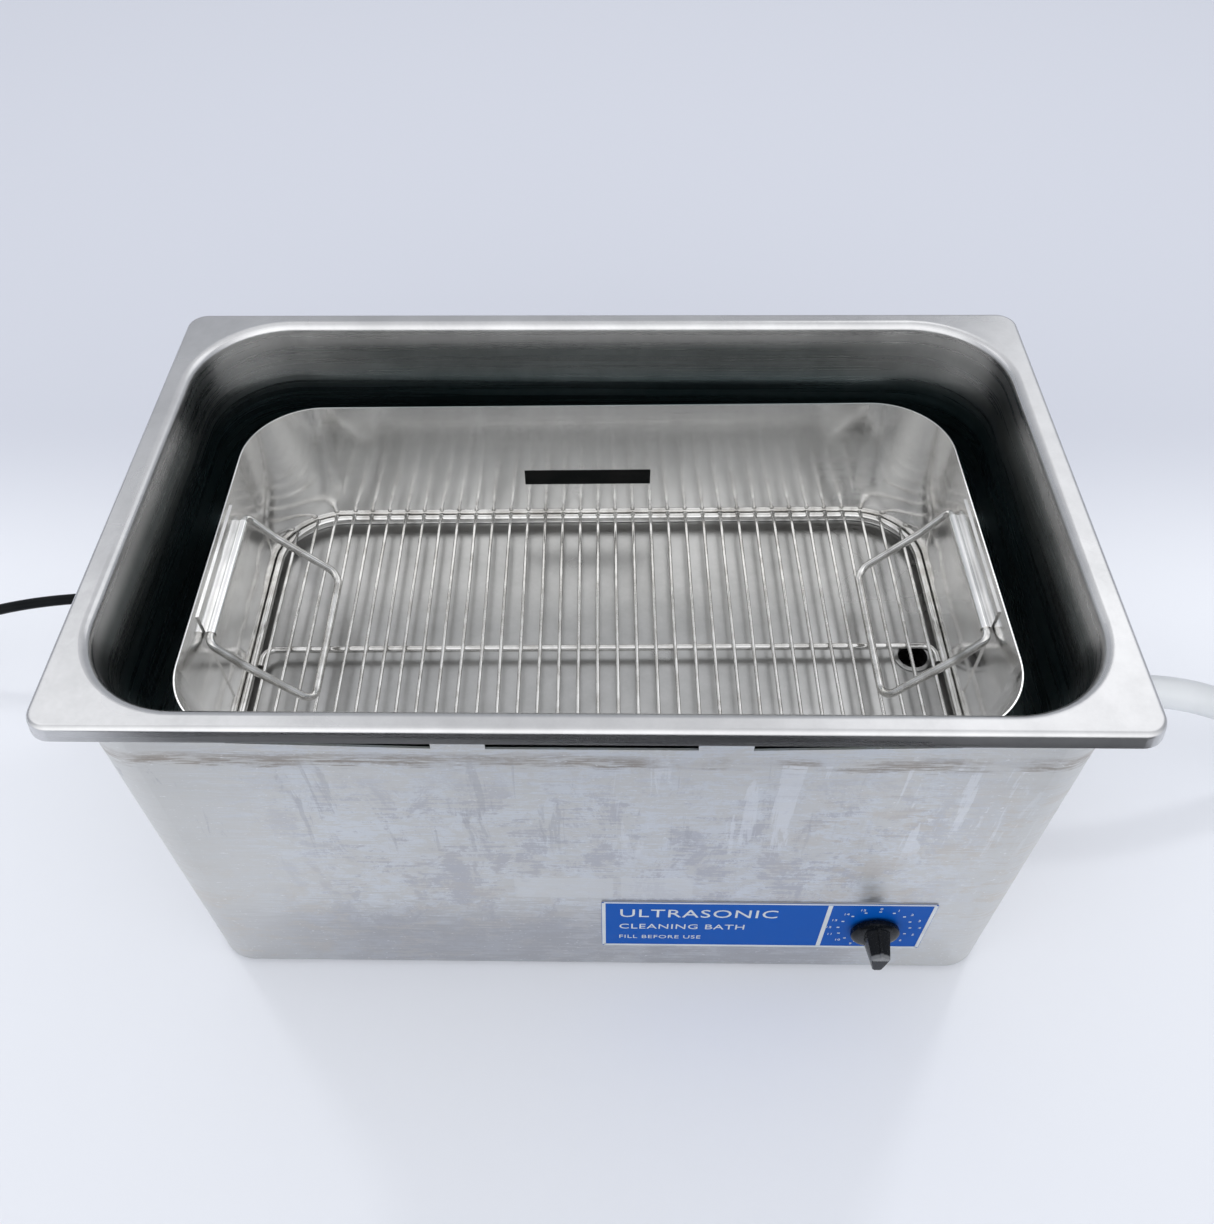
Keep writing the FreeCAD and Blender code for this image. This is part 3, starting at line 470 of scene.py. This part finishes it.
def moulded_look(name, light, dark, rough, grain=900.0, shine=0.5):
    """Plastic, rubber or ceramic with a fine skin grain."""
    look = Look(name, Specular_IOR_Level=shine)
    cloud = look.noise(look.place, 40.0, 4.0)
    skin_grain = look.noise(look.place, grain, 3.0)
    look.set(Base_Color=look.mix(look.range(cloud, 0.35, 0.7), light, dark))
    look.set(Roughness=look.range(cloud, 0.3, 0.7, rough, rough + 0.12))
    look.bump(skin_grain, SKIN_DEPTH)
    return look.material


MATERIALS = {
    "brushed_stainless": casing_look(),
    "drawn_stainless": tank_look(),
    "basket_sheet": basket_look(),
    "bright_wire": wire_look(),
    "label_blue": label_look(),
    "knob_plastic": knob_look(),
}

# Name, light colour, dark colour, roughness, then the grain's scale and the shine where they differ.
MOULDED = [
    ("label_silver", (0.50, 0.53, 0.55), (0.43, 0.46, 0.49), 0.35),
    ("black_label", (0.003, 0.004, 0.004), (0.008, 0.008, 0.008), 0.35, 900.0, 0.1),
    ("black_plastic", (0.012, 0.014, 0.016), (0.03, 0.032, 0.034), 0.36),
    ("black_rubber", (0.002, 0.003, 0.004), (0.006, 0.007, 0.008), 0.28, 900.0, 0.08),
    ("grey_rubber", (0.14, 0.14, 0.14), (0.22, 0.22, 0.21), 0.6),
    ("white_hose", (0.62, 0.64, 0.66), (0.585, 0.605, 0.625), 0.3, 300.0),
    ("piezo_ceramic", (0.50, 0.46, 0.40), (0.60, 0.57, 0.50), 0.5),
    ("circuit_board", (0.02, 0.16, 0.07), (0.03, 0.22, 0.10), 0.35),
    ("ferrite", (0.06, 0.06, 0.065), (0.10, 0.10, 0.105), 0.6),
    ("component_plastic", (0.04, 0.04, 0.045), (0.07, 0.07, 0.075), 0.45),
    ("fuse_glass", (0.80, 0.84, 0.86), (0.86, 0.88, 0.90), 0.05),
    ("lever_red", (0.50, 0.02, 0.015), (0.40, 0.015, 0.01), 0.3),
]
METALS = [
    ("brass", (0.72, 0.53, 0.27), (0.50, 0.36, 0.19), 0.28),
    # Near-black brass: painted shade for the drain elbow's unlit bore.
    ("shaded_brass", (0.05, 0.045, 0.04), (0.03, 0.03, 0.03), 0.7),
    ("plug_metal", (0.80, 0.70, 0.45), (0.66, 0.55, 0.34), 0.2),
    ("zinc_steel", (0.64, 0.65, 0.66), (0.50, 0.51, 0.52), 0.3),
    ("aluminium", (0.80, 0.80, 0.81), (0.70, 0.70, 0.71), 0.3),
    ("copper", (0.78, 0.42, 0.28), (0.55, 0.28, 0.18), 0.3),
]
for finish in MOULDED:
    MATERIALS[finish[0]] = moulded_look(*finish)
for finish in METALS:
    MATERIALS[finish[0]] = metal_look(*finish)

for subpart in frame["record"]["subparts"]:
    cad_node = NODES[subpart["node"]]
    cad_node.data.materials.clear()
    cad_node.data.materials.append(MATERIALS[subpart["material_slot"]])
# Painted shade: the drain elbow is near-black, as the unlit bore of the drain.
NODES["drain_elbow"].data.materials[0] = MATERIALS["shaded_brass"]


# --- cord and hose ---

def make_cord():
    """The mains lead: out of its sleeve and down to the table, four coiled turns, and on to its plug."""
    points = CORD_ROUTE + coil_points() + TAIL_ROUTE
    lead = nurbs("mains_lead", points, CORD_RADIUS)
    lead.data.materials.append(MATERIALS["black_rubber"])
    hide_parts("power_cord", "cord_coil", "cord_tail")
    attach(lead, "cleaner")


def wall_rings(bm, rings, radius):
    """Rings of vertices at one radius in millimetres about a path."""
    return [[bm.verts.new(point + out * radius * MM) for point, out in ring] for ring in rings]


def make_hose():
    """A tube with a wall, whose bore shows at its cut end."""
    bm = bmesh.new()
    rings = path_rings(nurbs_path(HOSE_ROUTE), HOSE_SIDES)
    outer = wall_rings(bm, rings, HOSE_RADIUS)
    inner = wall_rings(bm, rings[::-1], HOSE_BORE)
    skin(bm, outer + inner, closed=True)
    hose = new_object("hose_tube", bm, MATERIALS["white_hose"])
    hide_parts("drain_hose")
    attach(hose, "cleaner")


# --- label print and knob ---

FRONT = -151.0
LABEL_X0, LABEL_X1 = 3.5, 204.0
LABEL_Z0, LABEL_Z1 = 33.0, 95.0
LABEL_FACE = FRONT - 0.8
LABEL_MARGIN, LABEL_CORNER = 0.25, 1.2
BORDER, TOP_BORDER = 2.2, 1.4
DIVIDER = 139.0, 141.6
PRINT_THICK, PRINT_OVERLAP = 0.12, 0.2
TIMER_X, TIMER_Z = 171.0, 63.0
DOT_CIRCLE, NUMBER_CIRCLE, NUMBER_SPREAD = 22.0, 25.8, 1.08
DOT_WIDE, DOT_HIGH = 0.8, 0.55
NUMBER_SIZE, LETTER_SPACE = 3.6, 1.08
MINUTES = 15
MINUTE_STEP = 22.5

# Words, their size, and their lower left corner across and up, in millimetres.
WORDS = [
    ("ULTRASONIC", 15.0, 14.0, 75.0),
    ("CLEANING BATH", 9.5, 14.0, 58.5),
    ("FILL BEFORE USE", 6.5, 14.0, 44.5),
]


def printed_block(bm, x0, x1, z0, z1):
    """A thin raised rectangle on the label's face."""
    made = bmesh.ops.create_cube(bm, size=1.0)["verts"]
    for vertex in made:
        x = x0 if vertex.co.x < 0 else x1
        z = z0 if vertex.co.z < 0 else z1
        y = LABEL_FACE - PRINT_THICK if vertex.co.y < 0 else LABEL_FACE + PRINT_THICK
        vertex.co = row(x, y, z)


def printed_text(bm, words, size, x, z, centred=False):
    """Raised letters on the label's face, from their lower left corner or about their middle."""
    data = bpy.data.curves.new("words", "FONT")
    data.body = words
    data.size = size * MM
    data.extrude = PRINT_THICK * MM
    data.resolution_u = 3
    data.space_character = LETTER_SPACE
    if centred:
        data.align_x = "CENTER"
        data.align_y = "CENTER"
    letters = bpy.data.objects.new("words", data)
    mesh = bpy.data.meshes.new_from_object(letters)
    mesh.transform(Matrix.Translation(row(x, LABEL_FACE, z)) @ Matrix.Rotation(pi / 2, 4, "X"))
    bm.from_mesh(mesh)
    bpy.data.objects.remove(letters)
    bpy.data.curves.remove(data)
    bpy.data.meshes.remove(mesh)


def make_label_print():
    """The label's border, divider, words and dial, as thin raised shapes on the plate."""
    bm = bmesh.new()
    x0, x1 = LABEL_X0 + LABEL_MARGIN, LABEL_X1 - LABEL_MARGIN
    z0, z1 = LABEL_Z0 + LABEL_MARGIN, LABEL_Z1 - LABEL_MARGIN
    printed_block(bm, x0 + LABEL_CORNER, x1 - LABEL_CORNER, z0, z0 + BORDER)
    printed_block(bm, x0 + LABEL_CORNER, x1 - LABEL_CORNER, z1 - TOP_BORDER, z1)
    printed_block(bm, x0, x0 + BORDER, z0 + LABEL_CORNER, z1 - LABEL_CORNER)
    printed_block(bm, x1 - BORDER, x1, z0 + LABEL_CORNER, z1 - LABEL_CORNER)
    printed_block(bm, *DIVIDER, z0 + BORDER - PRINT_OVERLAP, z1 - BORDER + PRINT_OVERLAP)
    for words, size, x, z in WORDS:
        printed_text(bm, words, size, x, z)
    for minute in range(MINUTES + 1):
        turn = radians(MINUTE_STEP * minute)
        x, z = TIMER_X + DOT_CIRCLE * sin(turn), TIMER_Z + DOT_CIRCLE * cos(turn)
        printed_block(bm, x - DOT_WIDE, x + DOT_WIDE, z - DOT_HIGH, z + DOT_HIGH)
        x = TIMER_X + NUMBER_CIRCLE * NUMBER_SPREAD * sin(turn)
        z = TIMER_Z + NUMBER_CIRCLE * cos(turn)
        printed_text(bm, str(minute), NUMBER_SIZE, x, z, centred=True)
    printed = new_object("label_print", bm, MATERIALS["label_silver"], smooth=False)
    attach(printed, "cleaner")


# Pairs of distance in front of the panel and radius, from the shaft's hole round the skirt.
KNOB_BASE = [
    (4.1, 0.0), (4.1, 8.4), (2.2, 8.5), (2.2, 13.8), (2.8, 14.6), (4.4, 14.9),
    (5.8, 14.7), (6.8, 13.8), (7.4, 12.2), (7.9, 9.0), (8.2, 4.0), (8.3, 0.0),
]
GRIP_BACK, GRIP_FRONT, GRIP_ROUND = 6.0, 24.2, 0.5
GRIP_STEPS = 5
NEARLY_ZERO = 0.02


def lathe(bm, profile, place, along, side, steps=64):
    """Turns (along, radius) pairs in millimetres about an axis; a radius of 0 all but closes the end."""
    other = along.cross(side)
    rings = []
    for reach, radius in profile:
        ring = []
        for step in range(steps):
            turn = 2 * pi * step / steps
            out = side * cos(turn) + other * sin(turn)
            ring.append(bm.verts.new(place + (along * reach + out * max(radius, NEARLY_ZERO)) * MM))
        rings.append(ring)
    skin_capped(bm, rings)


def skin_capped(bm, rings):
    """A skin over rings of vertices, with a face on the first and on the last."""
    skin(bm, rings)
    bm.faces.new(rings[0])
    bm.faces.new(rings[-1])


def grip_section(depth):
    """The grip's outline at one depth in front of the panel, from its ridge clockwise."""
    share = (depth - GRIP_BACK) / (GRIP_FRONT - GRIP_BACK)

    def between(back, front):
        return back + (front - back) * share

    shoulder, hip, foot = between(7.4, 5.4), between(7.6, 4.6), between(5.4, 2.9)
    top, low = between(11.8, 8.6), between(-11.6, -9.2)
    half = [
        (0.85, top + 1.3), (0.95, top), (shoulder * 0.6, top - 1.1), (shoulder, top - 3.2),
        (hip, 0.0), (foot, low + 1.2), (foot - 1.0, low),
    ]
    return half + [(-x, z) for x, z in reversed(half)]


def grip_ring(bm, depth, narrow=1.0, lower=1.0):
    """The grip's outline as vertices, drawn in by two shares where its front edge is rounded."""
    outline = [(x * narrow, z * lower) for x, z in grip_section(depth)]
    return [bm.verts.new(row(TIMER_X + x, FRONT - depth, TIMER_Z + z)) for x, z in outline]


def make_knob():
    """A round skirt with a tapering pointed grip across it."""
    bm = bmesh.new()
    lathe(bm, KNOB_BASE, row(TIMER_X, FRONT, TIMER_Z), Vector((0, -1, 0)), Vector((1, 0, 0)))
    reach = GRIP_FRONT - GRIP_ROUND - GRIP_BACK
    rings = [grip_ring(bm, GRIP_BACK + reach * k / GRIP_STEPS) for k in range(GRIP_STEPS + 1)]
    rings.append(grip_ring(bm, GRIP_FRONT, 0.88, 0.95))
    skin_capped(bm, rings)
    knob = new_object("knob_moulding", bm, MATERIALS["knob_plastic"])
    knob.data.set_sharp_from_angle(angle=radians(32))
    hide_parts("timer_knob")
    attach(knob, "timer_dial")


# --- basket wires ---

BASKET_TURN = radians(0.8)
ROD_Z = 147.0
RING_X, RING_Y, RING_CORNER, RING_WIRE = 221.1, 119.5, 42.0, 2.5
GRID_WIRE, GRID_PITCH, GRID_COUNT, GRID_SUNK = 1.2, 12.47, 35, 0.2
GRID_OVERHANG = 1.4
GRID_SWAY = 0.35
END_SQUEEZE = 0.75
WIRE_STEPS, WIRE_SIDES = 14, 12
RING_WELD, RING_WELD_DOWN = 1.7, 0.7
BAR_WELD, BAR_WELD_DOWN = 1.35, 0.8
WELD_SHAPE = Matrix.Diagonal((1.0, 1.15, 0.75, 1.0))


def askew(x, y, z):
    """A point of the basket, which stands a little turned in the tank."""
    return row(x * cos(BASKET_TURN) - y * sin(BASKET_TURN), x * sin(BASKET_TURN) + y * cos(BASKET_TURN), z)


def ring_reach(x):
    """How far the ring is from the basket's middle line at one place across, round its corners too."""
    past = abs(x) - (RING_X - RING_CORNER)
    if past <= 0:
        return RING_Y
    return RING_Y - RING_CORNER + sqrt(RING_CORNER**2 - past**2)


def weld_spot(bm, place, radius):
    """A small squashed bead of melted wire."""
    bmesh.ops.create_uvsphere(bm, u_segments=10, v_segments=6, radius=radius * MM,
                              matrix=Matrix.Translation(place) @ WELD_SHAPE)


def make_grid():
    """Thin wires that waver a little, flattened where they are welded to the ring and the middle bar."""
    bm = bmesh.new()
    chance = Random(7)
    level = ROD_Z + RING_WIRE + GRID_WIRE - GRID_SUNK
    for k in range(GRID_COUNT):
        x = (k - (GRID_COUNT - 1) / 2) * GRID_PITCH
        edge = ring_reach(x)
        reach = edge + GRID_OVERHANG
        sway, phase = chance.uniform(-GRID_SWAY, GRID_SWAY), chance.uniform(0, 2 * pi)
        path = []
        for step in range(WIRE_STEPS + 1):
            share = 2 * step / WIRE_STEPS - 1
            away = sway * sin(3 * share + phase) * (1 - share**4)
            path.append(askew(x + away, share * reach, level))
        rings = []
        for n, ring in enumerate(path_rings(path, WIRE_SIDES)):
            radius = GRID_WIRE * (END_SQUEEZE if n in (0, WIRE_STEPS) else 1.0) * MM
            rings.append([bm.verts.new(point + out * radius) for point, out in ring])
        skin_capped(bm, rings)
        for end in (-1, 1):
            weld_spot(bm, askew(x, end * edge, level - RING_WELD_DOWN), RING_WELD)
        weld_spot(bm, askew(x, 0, level - BAR_WELD_DOWN), BAR_WELD)
    wires = new_object("grid_wires_drawn", bm, MATERIALS["bright_wire"])
    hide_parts("grid_wires")
    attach(wires, "basket")


# --- strain relief ---

RELIEF_PLACE = -252, 100, 80
RIBS, RIB_PITCH, FIRST_RIB = 7, 5.6, 6.0
RIB_RADIUS, RIB_TAPER = 7.8, 0.4


def make_strain_relief():
    """A ribbed rubber sleeve with a collar on the wall, and its lock and cord stub inside."""
    profile = [(-11.0, 0.0), (-11.0, 4.0), (-5.2, 4.0), (-5.2, 9.4), (-1.2, 9.8), (-1.2, 8.0), (0.0, 8.0)]
    profile += [(0.0, 9.6), (0.6, 10.0), (3.4, 10.0), (4.0, 9.4), (4.2, 7.9)]
    for rib in range(RIBS):
        start = FIRST_RIB + RIB_PITCH * rib
        radius = RIB_RADIUS - RIB_TAPER * rib
        profile += [(start, radius), (start + 0.4, radius - 1.3)]
        profile += [(start + 2.0, radius - 1.35), (start + 2.4, radius - 0.15)]
    profile += [(47.4, 5.0), (48.0, 4.6), (48.0, 0.0)]
    bm = bmesh.new()
    lathe(bm, profile, row(*RELIEF_PLACE), Vector((-1, 0, 0)), Vector((0, 0, 1)), 40)
    relief = new_object("ribbed_strain_relief", bm, MATERIALS["black_rubber"])
    relief.data.set_sharp_from_angle(angle=radians(40))
    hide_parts("strain_relief")
    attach(relief, "cleaner")


# --- floor, light ---

FLOOR_SIZE = 12
# Paper colours near and far: the far one is painted shade, where less light falls behind the object.
FLOOR_NEAR, FLOOR_FAR_SHADED = (0.78, 0.80, 0.85), (0.56, 0.58, 0.645)
FLOOR_SHADE_DEEPENS = 0.15, 0.42
LIGHT_AIM = Vector((0, 0, 0.1))
CARD_X, CARD_Y, CARD_WIDTH, CARD_HEIGHT = 0.12, -0.40, 0.96, 0.24
ROOM_SIDES, ROOM_ABOVE, ROOM_FRONT = (0.52, 0.54, 0.58), (0.95, 0.96, 0.99), (1.68, 1.69, 1.71)
BACKDROP = 0.585, 0.625, 0.71


def make_stage():
    """A pale paper floor, with painted shade that darkens it behind the object."""
    bpy.ops.mesh.primitive_plane_add(size=FLOOR_SIZE, location=(0, 0, 0))
    floor = bpy.context.object
    floor.name = "floor"
    look = Look("paper", Roughness=0.85)
    # Painted shade: the floor darkens away from the front, as the light falls off.
    depth = look.range(look.axis("Y"), *FLOOR_SHADE_DEEPENS)
    look.set(Base_Color=look.mix(depth, FLOOR_NEAR, FLOOR_FAR_SHADED))
    floor.data.materials.append(look.material)


def area_light(name, place, size, watts):
    """A square light aimed at the object."""
    data = bpy.data.lights.new(name, "AREA")
    data.size = size
    data.energy = watts
    light = bpy.data.objects.new(name, data)
    light.location = place
    light.rotation_mode = "QUATERNION"
    light.rotation_quaternion = (LIGHT_AIM - Vector(place)).to_track_quat("-Z", "Y")
    bpy.context.scene.collection.objects.link(light)
    return light


def make_dark_card():
    """A black card on the table in front that only reflections see, as the dark room behind a camera."""
    bm = bmesh.new()
    bmesh.ops.create_grid(bm, x_segments=1, y_segments=1, size=0.5)
    look = Look("black_card", Base_Color=(0.01, 0.01, 0.012), Roughness=0.9)
    card = new_object("dark_card", bm, look.material, smooth=False)
    place = Matrix.Translation((CARD_X, CARD_Y, CARD_HEIGHT / 2))
    card.matrix_world = place @ Matrix.Rotation(pi / 2, 4, "X")
    card.scale = (CARD_WIDTH, CARD_HEIGHT, 1)
    card.visible_camera = False
    card.visible_diffuse = False
    card.visible_shadow = False


def make_light():
    """Broad boxes that the metal mirrors, and a smaller lamp in front of each that throws the shadows."""
    boxes = [
        area_light("left_softbox", (-1.60, 0.75, 1.85), 1.5, 3.8),
        area_light("right_softbox", (1.20, 1.05, 1.75), 1.5, 5.4),
    ]
    for light in boxes:
        light.visible_diffuse = False
    lamps = [
        area_light("left_lamp", (-1.04, 0.78, 1.75), 0.20, 4.0),
        area_light("right_lamp", (0.87, 0.97, 1.75), 0.20, 4.8),
    ]
    for light in lamps:
        light.visible_glossy = False
    make_dark_card()
    make_world()


def make_world():
    """A pale room, brighter overhead and in front, with a plain backdrop beyond the floor."""
    world = bpy.data.worlds.new("studio")
    world.use_nodes = True
    nodes = Nodes(world.node_tree, "Generated")
    above = nodes.range(nodes.axis("Z"), 0.50, 0.88)
    room = nodes.mix(above, ROOM_SIDES, ROOM_ABOVE)
    front = nodes.node("MapRange", {"Value": nodes.axis("Y"), "From Min": 0.0, "From Max": -0.8})
    room = nodes.mix(front, room, ROOM_FRONT)
    path = nodes.tree.nodes.new("ShaderNodeLightPath")
    seen = nodes.mix(path.outputs["Is Camera Ray"], room, BACKDROP)
    nodes.fill(nodes.tree.nodes["Background"], "Color", seen)
    bpy.context.scene.world = world
    bpy.context.scene.view_settings.view_transform = "Standard"


make_camera()
make_strain_relief()
make_cord()
make_hose()
make_label_print()
make_knob()
make_grid()
make_stage()
make_light()
